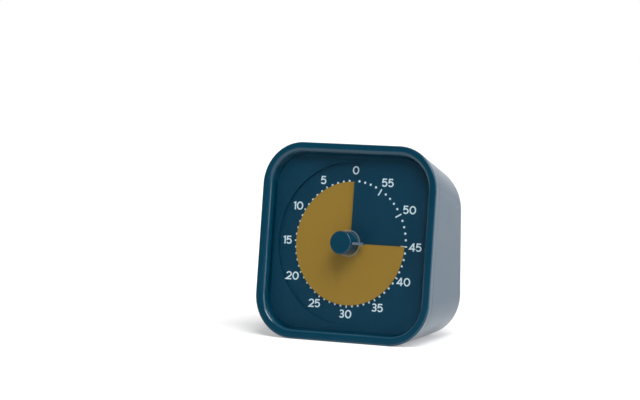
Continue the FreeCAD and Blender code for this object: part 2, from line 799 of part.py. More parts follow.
# Stator: iron plate round the magnet, with the square core that carries the coil
def make_stator():
    reach = magnet_r + pole_gap

    def draw(sketch):
        box_outline(sketch, rotor_x - reach * stator_wide, coil_start - flange_thick,
                    rotor_y - reach * stator_tall, rotor_y + reach * stator_tall)
        circle(sketch, reach, rotor_x, rotor_y)
    body = plate("stator", stator_front, stator_front + stator_thick, draw)
    core = new_sketch(body, lift=-stator_front)
    half = core_thick / 2
    box_outline(core, coil_start - flange_thick * 2, coil_start + coil_long + flange_thick,
                coil_y - half, coil_y + half)
    pad(body, core, core_thick)


# The coil's axis runs along X, so its bodies are turned on their side
def coil_place():
    middle = Vector(coil_start.number, coil_y.number, -(stator_front + core_thick / 2).number)
    return face_place.multiply(Placement(middle, Rotation(Vector(0, 1, 0), 90)))


def make_coil_bobbin():
    body = new_body("coil_bobbin", coil_place())
    far_flange = coil_long - flange_thick
    for low, high, radius in ((0, coil_long, core_thick), (0, flange_thick, flange_r),
                              (far_flange, coil_long, flange_r)):
        sketch = new_sketch(body, lift=low)
        circle(sketch, radius)
        pad(body, sketch, as_size(high) - low, back=False)
    hole = new_sketch(body)
    half = core_thick / 2 + slack
    box_outline(hole, -half, half, -half, half)
    pocket(body, hole, coil_long, forward=True)


def make_coil_winding():
    body = new_body("coil_winding", coil_place())
    sketch = new_sketch(body, lift=flange_thick)
    circle(sketch, winding_r)
    circle(sketch, core_thick)
    pad(body, sketch, coil_long - flange_thick * 2, back=False)


case_round = driving("case_round", 4.0, "corner radius of the movement case")
leaf_gap = driving("leaf_gap", 0.4, "alarm leaf to the cam")
leaf_half = driving("leaf_half", 1.5, "half the width of the alarm leaf")
leaf_thick = driving("leaf_thick", 0.5, "thickness of the alarm leaf")
doc.recompute()


def make_alarm_leaf():
    near = cam_front + (cam_thick - leaf_thick) / 2

    def draw(sketch):
        box_outline(sketch, cam_r + leaf_gap, case_half_w - case_wall, -leaf_half, leaf_half)
    plate("alarm_leaf", near, near + leaf_thick, draw)


def bearing_holes(sketch):
    circle(sketch, spindle_r + run_fit)
    for x, y in arbor_spots:
        circle(sketch, arbor_r + run_fit, x, y)


# Front plate of the movement case, with an ear on each side for its screws
def make_case_front():
    far = case_front + case_wall
    body = new_body("movement_case_front", face_place)
    sketch = new_sketch(body, lift=-case_front)
    round_outline(sketch, case_half_w, -case_half_tall, case_half_tall, case_round)
    pad(body, sketch, case_wall)
    arm = new_sketch(body, lift=-case_front)
    box_outline(arm, -ear_x, ear_x, -ear_r, ear_r)
    pad(body, arm, case_wall)
    for x, y in ear_spots():
        add_round(body, ear_r, case_front, far, x, y)
    holes = new_sketch(body, lift=-case_front)
    bearing_holes(holes)
    for x, y in ear_spots():
        circle(holes, small_screw_r + run_fit, x, y)
    pocket(body, holes, case_wall)


# Rear box of the movement case
def make_case_rear():
    near = case_front + case_wall

    def draw(sketch):
        round_outline(sketch, case_half_w, -case_half_tall, case_half_tall, case_round)
    body = plate("movement_case_rear", near, case_back, draw)
    room = new_sketch(body, lift=-near)
    half_tall = case_half_tall - case_wall
    round_outline(room, case_half_w - case_wall, -half_tall, half_tall, case_round - case_wall)
    pocket(body, room, case_back - case_wall - near)
    holes = new_sketch(body, lift=-(case_back - case_wall))
    bearing_holes(holes)
    pocket(body, holes, case_wall)


header_x = driving("header_x", -10.0, "pin header from the middle")
header_half = driving("header_half", 2.5, "half the width of the pin header")
header_tall = driving("header_tall", 1.3, "half the height of the pin header")
doc.recompute()


# Pin header that carries the coil's current from the circuit board to the movement
def make_pin_header():
    def draw(sketch):
        box_outline(sketch, header_x - header_half, header_x + header_half, -header_tall, header_tall)
    plate("pin_header", case_back, depth_of(board_y, header_tall), draw)


boss_hole = driving("boss_hole", 1.15, "radius of the screw hole in a housing boss")
bore_hole = driving("bore_hole", 2.4, "radius of the deep recess for a screw head")
slot_x = driving("slot_x", 1.6, "half the width of the volume wheel's slot")
slot_z = driving("slot_z", 7.3, "half the height of the volume wheel's slot")
grille_pitch = driving("grille_pitch", 3.0, "grille slots apart")
grille_half = driving("grille_half", 0.75, "half the width of a grille slot")
grille_tall = driving("grille_tall", 7.0, "half the height of the middle grille slot")
post_x = driving("post_x", 17.25, "board posts either side of their middle")
post_mid_x = driving("post_mid_x", -2.75, "middle of the board posts")
post_low = driving("post_low", 36.0, "height of the lower board posts")
post_high = driving("post_high", 66.0, "height of the upper board posts")
board_post_r = driving("board_post_r", 2.0, "radius of a board post")
ear_wide = driving("ear_wide", 2.5, "width of a hinge ear of the housing")
ear_deep = driving("ear_deep", 1.8, "depth of a hinge ear of the housing")
pin_end = driving("pin_end", 2.2, "length of a door pin beyond the door")
doc.recompute()
door_side = door_w / 2
hinge_y = half_base - knuckle_r
hinge_z = door_low + door_gap + knuckle_r
board_back = board_y + board_thick


def board_spots():
    left = post_mid_x - post_x
    right = post_mid_x + post_x
    return [(left, post_low), (right, post_low), (left, post_high), (right, post_high)]


# True for an edge that lies on the rear wall's outer plane
def on_rear_wall(edge):
    for share in (0, 0.5, 1):
        span = edge.LastParameter - edge.FirstParameter
        spot = edge.valueAt(edge.FirstParameter + span * share)
        row_y = face_mid_y.number + spot.y * sine(lean).number - spot.z * cosine(lean).number
        if abs(row_y - half_base.number) > 1e-3:
            return False
    return True


# Rear housing: the tapering shell with its screw bosses, board posts, hinge ears and openings
def make_rear_housing():
    body = new_body("rear_housing", face_place)
    shell_loft(body, "AdditiveLoft", 0, sole)
    round_edges(body, rear_edge, on_rear_wall)
    level_base(body)
    ahead = new_sketch(body, lift=-seam)
    box_outline(ahead, -face_w, face_w, -face_tall, face_tall)
    pocket(body, ahead, face_w, forward=True)
    bevel_edges(body, seam_groove, at_height(-seam.number))
    shell_loft(body, "SubtractiveLoft", wall)
    for x, y in boss_spots():
        far = depth_of(half_base - wall / 2, y)
        add_round(body, boss_r, boss_front, far, x, y)
    holes = new_sketch(body, lift=-boss_front)
    recesses = new_sketch(body, lift=-screw_seat)
    for x, y in boss_spots():
        circle(holes, boss_hole, x, y)
        circle(recesses, bore_hole, x, y)
    pocket(body, holes, screw_seat - boss_front)
    pocket(body, recesses, base_deep)
    posts = upright_sketch(body, board_back)
    pilots = upright_sketch(body, board_back)
    for x, z in board_spots():
        circle(posts, board_post_r, x, z)
        circle(pilots, small_screw_r + screw_pilot, x, z)
    pad(body, posts, rear_inner - board_back + bury)
    pocket(body, pilots, rear_inner - board_back - wall)
    ears = upright_sketch(body, rear_inner - ear_deep)
    ear_low = door_low
    ear_high = hinge_z + knuckle_r
    for side in (1, -1):
        box_outline(ears, door_side * side, (door_side + ear_wide) * side, ear_low, ear_high)
    pad(body, ears, ear_deep + bury)
    inside = rear_inner - door_gap
    openings = upright_sketch(body, inside)
    box_outline(openings, -door_side, door_side, door_low, door_high)
    box_outline(openings, wheel_x - slot_x, wheel_x + slot_x, wheel_z - slot_z, wheel_z + slot_z)
    for step in (-2, -1, 0, 1, 2):
        x = sound_x + grille_pitch * step
        tall = grille_tall - grille_half * (step * step)
        box_outline(openings, x - grille_half, x + grille_half, sound_z - tall, sound_z + tall)
    pocket(body, openings, wall * 2)
    pins = new_sketch(body, "YZ_Plane", lift=-(door_side + pin_end))
    pin_y, pin_z = to_face(hinge_y, hinge_z)
    circle(pins, pin_r + run_fit, pin_y, pin_z)
    pocket(body, pins, (door_side + pin_end) * 2, forward=True)


tray_wall = driving("tray_wall", 1.2, "wall of the battery tray")
tray_half = driving("tray_half", 29.0, "half the width of the battery tray")
tray_front = driving("tray_front", 3.4, "front of the battery tray")
tray_side_end = driving("tray_side_end", 20.0, "rear edge of the tray's sides")
rib_x = driving("rib_x", 14.0, "cradle ribs either side of the middle")
rib_half = driving("rib_half", 0.75, "half the thickness of a cradle rib")
rib_share = driving("rib_share", 0.8, "reach of the ribs and contacts, as a share of the cell's radius")
foot_x = driving("foot_x", 15.0, "feet of the tray either side of the middle")
foot_r = driving("foot_r", 2.5, "radius of a foot of the tray")
tab_near = driving("tab_near", 8.5, "front edge of a contact's tab")
tab_high = driving("tab_high", 35.0, "top of a contact's tab")
contact_thick = driving("contact_thick", 0.4, "sheet of a contact")
button_r = driving("button_r", 2.75, "radius of the cell's button")
button_tall = driving("button_tall", 1.0, "height of the cell's button")
doc.recompute()
tray_inner = tray_half - tray_wall
tray_low = door_low - tray_wall - door_gap
tray_top = door_high + tray_wall


# Battery tray: a box open to the rear, with two cradle ribs and two feet on the housing's floor
def make_battery_tray():
    def draw(sketch):
        box_outline(sketch, -tray_half, tray_half, tray_low, tray_top)
    body = plate("battery_tray", tray_front, rear_inner, draw, upright_place)
    room = new_sketch(body, lift=-(tray_front + tray_wall))
    box_outline(room, -tray_inner, tray_inner, tray_low + tray_wall, door_high)
    pocket(body, room, base_deep)
    sides = new_sketch(body, lift=-tray_side_end)
    for side in (1, -1):
        box_outline(sides, (tray_inner - slack) * side, (tray_half + slack) * side,
                    tray_low + tray_wall, door_high)
    pocket(body, sides, wall * 2)
    ribs = new_sketch(body, lift=-(cell_y - cell_r * rib_share))
    for side in (1, -1):
        box_outline(ribs, (rib_x - rib_half) * side, (rib_x + rib_half) * side,
                    tray_low + tray_wall / 2, cell_z - cell_r - slack)
    pad(body, ribs, cell_r * rib_share * 2)
    slots = new_sketch(body, lift=-(tab_near - slack * 2))
    for side in (1, -1):
        box_outline(slots, (tray_inner - contact_thick - slack * 4) * side, tray_inner * side,
                    door_high - slack, tray_top + slack)
    pocket(body, slots, board_y - tab_near + slack * 2)
    feet = new_sketch(body, "XZ_Plane", lift=-wall)
    for side in (1, -1):
        circle(feet, foot_r, foot_x * side, -cell_y)
    pad(body, feet, tray_low - wall + bury)


# One size AA cell, its axis along X and its button to the right
def make_battery_cell():
    middle = Vector(0, cell_y.number, cell_z.number)
    body = new_body("battery_cell", Placement(middle, Rotation(Vector(0, 1, 0), 90)))
    can = new_sketch(body, lift=-(cell_long / 2))
    circle(can, cell_r)
    pad(body, can, cell_long - button_tall, back=False)
    button = new_sketch(body, lift=cell_long / 2 - button_tall)
    circle(button, button_r)
    pad(body, button, button_tall, back=False)


# Contact plates at the two ends of the tray, each with a tab up to the circuit board
def make_contacts():
    for label, side in (("contact_positive", 1), ("contact_negative", -1)):
        body = new_body(label, upright_place)
        outer = tray_inner * side
        inner = (tray_inner - contact_thick) * side
        face = new_sketch(body, lift=-tab_near)
        box_outline(face, inner, outer, cell_z - cell_r * rib_share, door_high - slack)
        pad(body, face, cell_r)
        tab = new_sketch(body, lift=-tab_near)
        box_outline(tab, inner, outer, door_high - slack * 4, tab_high)
        pad(body, tab, board_y - tab_near)
    dimple = new_sketch(doc.getObject("contact_positive"), "YZ_Plane", lift=cell_long / 2)
    circle(dimple, button_r / 2, cell_z, -cell_y)
    pad(doc.getObject("contact_positive"), dimple, tray_inner - cell_long / 2 - slack, back=False)


spring_wire = driving("spring_wire", 0.3, "radius of the spring's wire")
spring_narrow = driving("spring_narrow", 2.2, "radius of the spring at the cell")
spring_turns = driving("spring_turns", 3.0, "turns of the spring")
spring_growth = driving("spring_growth", 0.75, "radius change of the spring in one turn")
doc.recompute()


# Conical spring between the flat end of the cell and the negative contact
def make_battery_spring():
    start = Vector(-(cell_long / 2 + spring_wire).number, cell_y.number, cell_z.number)
    body = new_body("battery_spring", Placement(start, Rotation(Vector(0, 1, 0), -90)))
    wire = new_sketch(body, "XZ_Plane")
    circle(wire, spring_wire, spring_narrow, 0)
    coil = body.newObject("PartDesign::AdditiveHelix", "battery_spring_coil")
    coil.Profile = wire
    coil.ReferenceAxis = (origin_item(body, "Z_Axis"), [""])
    coil.Mode = "height-turns-growth"
    bind(coil, "Height", tray_inner - contact_thick - spring_wire * 2 - cell_long / 2)
    bind(coil, "Turns", spring_turns)
    bind(coil, "Growth", spring_growth)


notch_half = driving("notch_half", 6.0, "half the width of the door's finger notch")
notch_tall = driving("notch_tall", 3.2, "height of the door's finger notch")
notch_deep = driving("notch_deep", 0.9, "depth of the door's finger notch")
doc.recompute()


# Battery door: a panel with a round hinge edge and a pin at each end
def make_battery_door():
    side = door_side - door_gap

    def draw(sketch):
        box_outline(sketch, -side, side, hinge_z, door_high - door_gap)
    body = plate("battery_door", rear_inner, half_base, draw, upright_place)
    knuckle = new_sketch(body, "YZ_Plane", lift=-side)
    circle(knuckle, knuckle_r, hinge_z, -hinge_y)
    pad(body, knuckle, side * 2, back=False)
    pin_reach = door_side + pin_end - slack * 4
    pins = new_sketch(body, "YZ_Plane", lift=-pin_reach)
    circle(pins, pin_r, hinge_z, -hinge_y)
    pad(body, pins, pin_reach * 2, back=False)
    notch = new_sketch(body, lift=-(half_base - notch_deep))
    top = door_high - door_gap
    box_outline(notch, -notch_half, notch_half, top - notch_tall, top + door_gap)
    pocket(body, notch, notch_deep * 2)


board_low = driving("board_low", 31.0, "bottom of the circuit board")
board_step = driving("board_step", 40.0, "top of the board's wide foot")
board_high = driving("board_high", 69.0, "top of the circuit board")
board_foot = driving("board_foot", 28.3, "half the width of the board's foot")
board_left = driving("board_left", -24.0, "left edge of the board")
board_right = driving("board_right", 18.5, "right edge of the board")
sounder_tall = driving("sounder_tall", 6.8, "depth of the sounder")
sounder_hole = driving("sounder_hole", 1.5, "radius of the sounder's hole")
chip_left = driving("chip_left", -4.0, "left edge of the driver chip")
chip_w = driving("chip_w", 9.0, "width of the driver chip")
chip_low = driving("chip_low", 33.5, "bottom of the driver chip")
chip_tall = driving("chip_tall", 6.0, "height of the driver chip")
chip_thick = driving("chip_thick", 1.6, "thickness of the driver chip")
crystal_r = driving("crystal_r", 1.0, "radius of the quartz crystal's can")
crystal_x = driving("crystal_x", 6.0, "left end of the quartz crystal")
crystal_z = driving("crystal_z", 41.5, "height of the quartz crystal")
crystal_long = driving("crystal_long", 6.0, "length of the quartz crystal's can")
pot_left = driving("pot_left", 12.0, "left side of the volume control")
pot_half = driving("pot_half", 5.0, "half the height of the volume control")
pot_deep = driving("pot_deep", 5.6, "depth of the volume control")
shaft_long = driving("shaft_long", 5.0, "length of the volume wheel's shaft")
groove_r = driving("groove_r", 0.45, "radius of a groove in the volume wheel")
groove_out = driving("groove_out", 0.15, "middle of a groove outside the wheel's rim")
doc.recompute()
wheel_side = wheel_x - wheel_thick / 2
grooves = 30
pot_right = wheel_side - door_gap


def make_circuit_board():
    def draw(sketch):
        corners = [
            (-board_foot, board_low),
            (board_foot, board_low),
            (board_foot, board_step),
            (board_right, board_step),
            (board_right, board_high),
            (board_left, board_high),
            (board_left, board_step),
            (-board_foot, board_step),
        ]
        polygon(sketch, corners)
        for x, z in board_spots():
            circle(sketch, small_screw_r + run_fit, x, z)
    plate("circuit_board", board_y, board_back, draw, upright_place)


def make_sounder():
    body = new_body("sounder", upright_place)
    add_round(body, sound_r, board_back, board_back + sounder_tall, sound_x, sound_z)
    hole = new_sketch(body, lift=-(board_back + sounder_tall / 2))
    circle(hole, sounder_hole, sound_x, sound_z)
    pocket(body, hole, sounder_tall)


def make_driver_chip():
    def draw(sketch):
        box_outline(sketch, chip_left, chip_left + chip_w, chip_low, chip_low + chip_tall)
    plate("driver_chip", board_back, board_back + chip_thick, draw, upright_place)


def make_quartz_crystal():
    body = new_body("quartz_crystal", upright_place)
    can = new_sketch(body, "YZ_Plane", lift=crystal_x)
    circle(can, crystal_r, crystal_z, -(board_back + crystal_r))
    pad(body, can, crystal_long, back=False)


# Volume control on the board, bored for the shaft of its wheel
def make_volume_pot():
    def draw(sketch):
        box_outline(sketch, pot_left, pot_right, wheel_z - pot_half, wheel_z + pot_half)
    body = plate("volume_pot", board_back, board_back + pot_deep, draw, upright_place)
    bore = new_sketch(body, "YZ_Plane", lift=wheel_side - shaft_long - slack)
    circle(bore, spindle_r + run_fit, wheel_z, -wheel_y)
    pocket(body, bore, base_deep, forward=True)


# Volume wheel, knurled with shallow grooves, on its own short shaft
def make_volume_wheel():
    spot = Vector(wheel_side.number, wheel_y.number, wheel_z.number)
    body = new_body("volume_wheel", Placement(spot, Rotation(Vector(0, 1, 0), 90)))
    tyre = new_sketch(body)
    circle(tyre, wheel_r)
    pad(body, tyre, wheel_thick, back=False)
    shaft = new_sketch(body, lift=-shaft_long)
    circle(shaft, spindle_r)
    pad(body, shaft, shaft_long + wheel_thick / 2, back=False)
    groove = new_sketch(body)
    circle(groove, groove_r, wheel_r + groove_out, 0)
    one = pocket(body, groove, wheel_thick, forward=True)
    add_pattern(body, one, grooves)


# The cross recess, as a share of the head's radius
recess_reach = 0.6
recess_half = 0.12


# A pan-head screw between its seat and its tip, with a cross recess in the head
def make_screw(label, place, x, y, seat, tip, shaft, head, head_tall):
    body = new_body(label, place)
    seat = as_size(seat)
    tip = as_size(tip)
    inward = seat.number > tip.number
    if inward:
        add_round(body, shaft, tip, seat, x, y)
        add_round(body, head, seat, seat + head_tall, x, y)
        recess = new_sketch(body, lift=-(seat + head_tall / 2))
    else:
        add_round(body, shaft, seat, tip, x, y)
        add_round(body, head, seat - head_tall, seat, x, y)
        recess = new_sketch(body, lift=-(seat - head_tall / 2))
    x = as_size(x)
    y = as_size(y)
    arm = head * recess_reach
    thin = head * recess_half
    corners = [
        (x - arm, y - thin), (x - thin, y - thin), (x - thin, y - arm), (x + thin, y - arm),
        (x + thin, y - thin), (x + arm, y - thin), (x + arm, y + thin), (x + thin, y + thin),
        (x + thin, y + arm), (x - thin, y + arm), (x - thin, y + thin), (x - arm, y + thin),
    ]
    polygon(recess, corners)
    pocket(body, recess, head_tall, forward=not inward)


head_tall = driving("head_tall", 1.6, "height of a housing screw's head")
small_head_tall = driving("small_head_tall", 1.2, "height of a small screw's head")
small_long = driving("small_long", 3.6, "length of a small screw")
board_screw_long = driving("board_screw_long", 5.4, "length of a board screw")
doc.recompute()


def make_screws():
    names = ("upper_right", "upper_left", "lower_right", "lower_left")
    for name, (x, y) in zip(names, boss_spots()):
        make_screw(f"housing_screw_{name}", face_place, x, y, screw_seat, screw_tip,
                   screw_r, screw_head, head_tall)
    seat = case_front + case_wall
    for name, (x, y) in zip(("right", "left"), ear_spots()):
        make_screw(f"movement_screw_{name}", face_place, x, y, seat, seat - small_long,
                   small_screw_r, small_head_r, small_head_tall)
    for name, (x, z) in zip(("lower_left", "lower_right", "upper_left", "upper_right"), board_spots()):
        make_screw(f"board_screw_{name}", upright_place, x, z, board_y, board_y + board_screw_long,
                   small_screw_r, small_head_r, small_head_tall)


make_front_frame()
make_lens()
make_dial_plate()
make_time_disk()
make_disk_hub()
make_knob()
make_spindle()
make_clutch_spring()
make_alarm_cam()
make_centre_wheel()
make_third_wheel()
make_seconds_wheel()
make_rotor()
make_stator()
make_coil_bobbin()
make_coil_winding()
make_alarm_leaf()
make_case_front()
make_case_rear()
make_pin_header()
make_rear_housing()
make_battery_tray()
make_battery_cell()
make_contacts()
make_battery_spring()
make_battery_door()
make_circuit_board()
make_sounder()
make_driver_chip()
make_quartz_crystal()
make_volume_pot()
make_volume_wheel()
make_screws()
doc.recompute()

# Nothing is written unless every object and every sub-part is sound
faults = []
for item in doc.Objects:
    if "Invalid" in item.State or "Error" in item.State:
        faults.append(f"{item.Label}: {item.State}")
parts = [item for item in doc.Objects if item.TypeId == "PartDesign::Body"]
for item in parts:
    if item.Shape.isNull() or not item.Shape.isValid() or len(item.Shape.Solids) != 1:
        faults.append(f"{item.Label}: its shape isn't one sound solid")
if faults:
    raise SystemExit("\n".join(faults))
for item in parts:
    item.Shape.exportStep(f"parts/{item.Label}.step")
    print(item.Label, round(item.Shape.Volume, 1))
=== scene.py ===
# %% [markdown]
# # A visual countdown timer
# The timer is a small square box that leans back on its foot. A coloured disk winds through a slit in the
# dial, and the part of it that still shows is the time that is left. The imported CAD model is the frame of
# this scene. Its pieces already have the right shape and place, so most of the work here is the finish of
# each plastic, the printing on the dial, and the light.

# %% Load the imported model
from math import atan2, cos, hypot, pi, radians, sin
import bmesh
import bpy
from mathutils import Euler, Matrix, Vector


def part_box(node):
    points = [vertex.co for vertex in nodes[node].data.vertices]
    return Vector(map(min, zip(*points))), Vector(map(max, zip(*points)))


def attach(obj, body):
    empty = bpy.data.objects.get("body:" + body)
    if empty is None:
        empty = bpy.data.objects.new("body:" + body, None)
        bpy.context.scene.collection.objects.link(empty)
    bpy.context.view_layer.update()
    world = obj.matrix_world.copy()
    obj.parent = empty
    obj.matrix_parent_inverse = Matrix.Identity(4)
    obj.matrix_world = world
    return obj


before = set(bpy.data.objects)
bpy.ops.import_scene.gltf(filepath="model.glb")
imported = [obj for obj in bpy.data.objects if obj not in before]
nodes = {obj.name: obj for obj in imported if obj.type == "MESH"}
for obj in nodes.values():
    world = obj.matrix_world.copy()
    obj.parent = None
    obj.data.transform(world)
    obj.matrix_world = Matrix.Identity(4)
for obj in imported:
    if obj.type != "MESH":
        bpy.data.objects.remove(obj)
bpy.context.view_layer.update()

# %% [markdown]
# The clock face leans back by 7.3 degrees. Everything on it is easiest to draw in the face's own frame: X
# to the right, Y up the face, and Z out of it towards the viewer, with its origin at the middle of the
# rim. One matrix then takes a finished mesh from there to its place on the object.

# %% The face's own frame
MM = 0.001
LEAN = radians(7.3)
FACE_MIDDLE_UP = 45.4 * MM
FRONT_FOOT = -23.5 * MM
face_turn = Euler((pi / 2 - LEAN, 0, 0)).to_matrix().to_4x4()
face_middle = Vector((0, FRONT_FOOT + FACE_MIDDLE_UP * sin(LEAN), FACE_MIDDLE_UP * cos(LEAN)))
face_place = Matrix.Translation(face_middle) @ face_turn
print("face middle, mm:", [round(v / MM, 3) for v in face_middle])

# %% [markdown]
# Colours are noted as they look on a screen, in hex. Blender's shaders count light in linear steps, so
# one function turns the first into the second, and every colour in this file goes through it.

# %% Colours
def colour(code):
    """A hex screen colour as the linear colour that a shader expects."""
    parts = [int(code[i:i + 2], 16) / 255 for i in (0, 2, 4)]
    linear = [c / 12.92 if c <= 0.04045 else ((c + 0.055) / 1.055) ** 2.4 for c in parts]
    return (*linear, 1.0)

print("dial blue, linear:", [round(c, 3) for c in colour("02384E")])

# %% [markdown]
# A material or a Geometry Nodes tree is a graph. One small function adds any node to any graph: it sets
# the node's own settings, and each of its inputs is either a plain value or the output of another node.

# %% A helper for every node
def add_node(tree, kind, inputs=None, **settings):
    """Adds a node, sets it up, fills or links its inputs, and returns it."""
    node = tree.nodes.new(kind)
    for key, value in settings.items():
        setattr(node, key, value)
    for key, value in (inputs or {}).items():
        if isinstance(value, bpy.types.NodeSocket):
            tree.links.new(value, node.inputs[key])
        else:
            node.inputs[key].default_value = value
    return node

def new_material(name):
    """An empty material with only its output node, ready to be wired."""
    made = bpy.data.materials.new(name)
    made.use_nodes = True
    made.node_tree.nodes.clear()
    return made, made.node_tree, made.node_tree.nodes.new("ShaderNodeOutputMaterial")

# %% [markdown]
# Moulded plastic is never one flat colour. The pigment is a little uneven over a few centimetres, the
# steel of the mould leaves a fine spark-eroded grain, and handling polishes it here and there. Three
# noises at their real sizes give these: one shifts the colour, one the roughness, and the finest one
# makes the bump. They read Object coordinates, which are the object's own metres, so a feature of so many
# millimetres is easy to ask for.

# %% Moulded plastics
def noise(tree, place, size_mm, detail=2.0):
    """A noise whose blotches are about size_mm wide."""
    return add_node(tree, "ShaderNodeTexNoise", {"Vector": place, "Scale": 1000 / size_mm, "Detail": detail})

def spread(tree, value, low, high):
    """Stretches a noise's middle, 0.35 to 0.65, over low to high."""
    return add_node(tree, "ShaderNodeMapRange", {
        "Value": value, "From Min": 0.35, "From Max": 0.65, "To Min": low, "To Max": high}).outputs["Result"]

def moulded_plastic(name, code, rough, grain_mm=0.25, grain_depth=0.006, uneven=0.05, polish=0.05, ior=1.5):
    """A moulded plastic with uneven pigment, a grain from the mould and slightly polished places."""
    made, tree, output = new_material(name)
    place = add_node(tree, "ShaderNodeTexCoord").outputs["Object"]
    pigment = noise(tree, place, 28).outputs["Fac"]
    shade = add_node(tree, "ShaderNodeHueSaturation", {
        "Color": colour(code), "Value": spread(tree, pigment, 1 - uneven, 1 + uneven)}).outputs["Color"]
    handled = noise(tree, place, 11, 4).outputs["Fac"]
    grain = noise(tree, place, grain_mm, 1).outputs["Fac"]
    bump = add_node(tree, "ShaderNodeBump", {"Height": grain, "Distance": grain_depth * MM, "Strength": 0.6})
    shader = add_node(tree, "ShaderNodeBsdfPrincipled", {
        "Base Color": shade, "Roughness": spread(tree, handled, rough - polish, rough + polish),
        "Normal": bump.outputs["Normal"], "IOR": ior})
    tree.links.new(shader.outputs["BSDF"], output.inputs["Surface"])
    return made

finish = {
    "frame_abs": moulded_plastic("satin moulded ABS, front frame", "04394E", 0.2, polish=0.02),
    "housing_abs": moulded_plastic("satin moulded ABS, housing", "043A52", 0.22, polish=0.015),
    "dial_abs": moulded_plastic("fine matt moulded ABS, dial", "02384E", 0.5, grain_mm=0.18, ior=1.3),
    "knob_abs": moulded_plastic("satin moulded ABS, knob", "04384D", 0.22, grain_mm=0.2, polish=0.02),
    "acetal": moulded_plastic("natural acetal", "DDDAD0", 0.42, grain_depth=0.003, uneven=0.03),
    "case_styrene": moulded_plastic("moulded styrene, movement case", "3A3A3C", 0.45),
    "black_plastic": moulded_plastic("moulded component plastic", "1C1C1E", 0.5, grain_mm=0.15),
}
print("plastics:", [m.name for m in finish.values()])

# %% [markdown]
# The metal parts are hidden in the closed timer, but they show when the door is open or the parts are
# taken apart. Plated steel and brass have drawn or turned lines, which a noise makes once it is stretched
# along one axis. The copper is enamelled wire: a warm metal under a clear coat.

# %% Metals
def worked_metal(name, code, rough, stretch=(1, 1, 12), coat=0.0):
    """A metal with fine drawn lines, and a clear coat if it is enamelled."""
    made, tree, output = new_material(name)
    place = add_node(tree, "ShaderNodeTexCoord").outputs["Object"]
    drawn = add_node(tree, "ShaderNodeMapping", {"Vector": place, "Scale": stretch}).outputs["Vector"]
    lines = noise(tree, drawn, 1.2, 3).outputs["Fac"]
    tarnish = noise(tree, place, 6, 2).outputs["Fac"]
    shade = add_node(tree, "ShaderNodeHueSaturation", {
        "Color": colour(code), "Value": spread(tree, tarnish, 0.92, 1.04)}).outputs["Color"]
    bump = add_node(tree, "ShaderNodeBump", {"Height": lines, "Distance": 0.004 * MM, "Strength": 0.5})
    shader = add_node(tree, "ShaderNodeBsdfPrincipled", {
        "Base Color": shade, "Metallic": 1.0, "Roughness": spread(tree, lines, rough - 0.06, rough + 0.06),
        "Normal": bump.outputs["Normal"], "Coat Weight": coat})
    tree.links.new(shader.outputs["BSDF"], output.inputs["Surface"])
    return made

finish["steel"] = worked_metal("nickel-plated steel", "C4C5C8", 0.28)
finish["brass"] = worked_metal("turned brass", "D8B46A", 0.26)
finish["copper"] = worked_metal("enamelled copper wire", "C4703F", 0.3, (1, 1, 4), 0.6)
print("metals:", [finish[k].name for k in ("steel", "brass", "copper")])

# %% [markdown]
# The circuit board is woven glass cloth in green resin, and its weave shows faintly through the solder
# mask. Two crossed waves, one along each thread direction, give that weave. The battery's jacket is a
# plain printed film, dark with a band of another colour near its positive end, as generic cells have.

# %% The board and the cell
made, tree, output = new_material("glass-epoxy board with solder mask")
place = add_node(tree, "ShaderNodeTexCoord").outputs["Object"]
WEAVE_SCALE = 620.0
threads = [add_node(tree, "ShaderNodeTexWave", {"Vector": place, "Scale": WEAVE_SCALE, "Distortion": 0.4},
                    bands_direction=way).outputs["Fac"] for way in ("X", "Z")]
weave = add_node(tree, "ShaderNodeMath", {0: threads[0], 1: threads[1]}, operation="ADD").outputs[0]
green = add_node(tree, "ShaderNodeMix", {
    "Factor": noise(tree, place, 3).outputs["Fac"],
    "A": colour("0F5030"), "B": colour("1A6B40")}, data_type="RGBA")
weave_bump = add_node(tree, "ShaderNodeBump", {"Height": weave, "Distance": 0.004 * MM, "Strength": 0.4})
shader = add_node(tree, "ShaderNodeBsdfPrincipled", {
    "Base Color": green.outputs["Result"], "Roughness": 0.3, "Normal": weave_bump.outputs["Normal"]})
tree.links.new(shader.outputs["BSDF"], output.inputs["Surface"])
finish["board"] = made

BAND_START = 0.72
cell_low, cell_high = [Vector(v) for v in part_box("battery_cell")]
cell_length = cell_high.x - cell_low.x
made, tree, output = new_material("printed jacket of a cell")
place = add_node(tree, "ShaderNodeTexCoord").outputs["Object"]
along = add_node(tree, "ShaderNodeSeparateXYZ", {"Vector": place}).outputs["X"]
in_band = add_node(tree, "ShaderNodeMath", {
    0: along, 1: cell_low.x + BAND_START * cell_length}, operation="GREATER_THAN").outputs[0]
jacket = add_node(tree, "ShaderNodeMix", {
    "Factor": in_band, "A": colour("2C2F34"), "B": colour("B98A3A")}, data_type="RGBA").outputs["Result"]
worn = spread(tree, noise(tree, place, 4, 3).outputs["Fac"], 0.2, 0.34)
shader = add_node(tree, "ShaderNodeBsdfPrincipled", {
    "Base Color": jacket, "Roughness": worn, "Coat Weight": 0.4})
tree.links.new(shader.outputs["BSDF"], output.inputs["Surface"])
finish["cell_jacket"] = made
print("cell length, mm:", round(cell_length / MM, 1))

# %% [markdown]
# The disk is a thin matt film, printed in one warm colour. It reflects softly, with no sharp highlight. A
# very fine grain keeps the light broad, and a slow noise lets the ink lie a little unevenly.

# %% The coloured film
finish["disk_film"] = moulded_plastic("matt printed film", "967520", 0.6, grain_mm=0.12, grain_depth=0.004,
                                      uneven=0.03)
print("film:", finish["disk_film"].name)

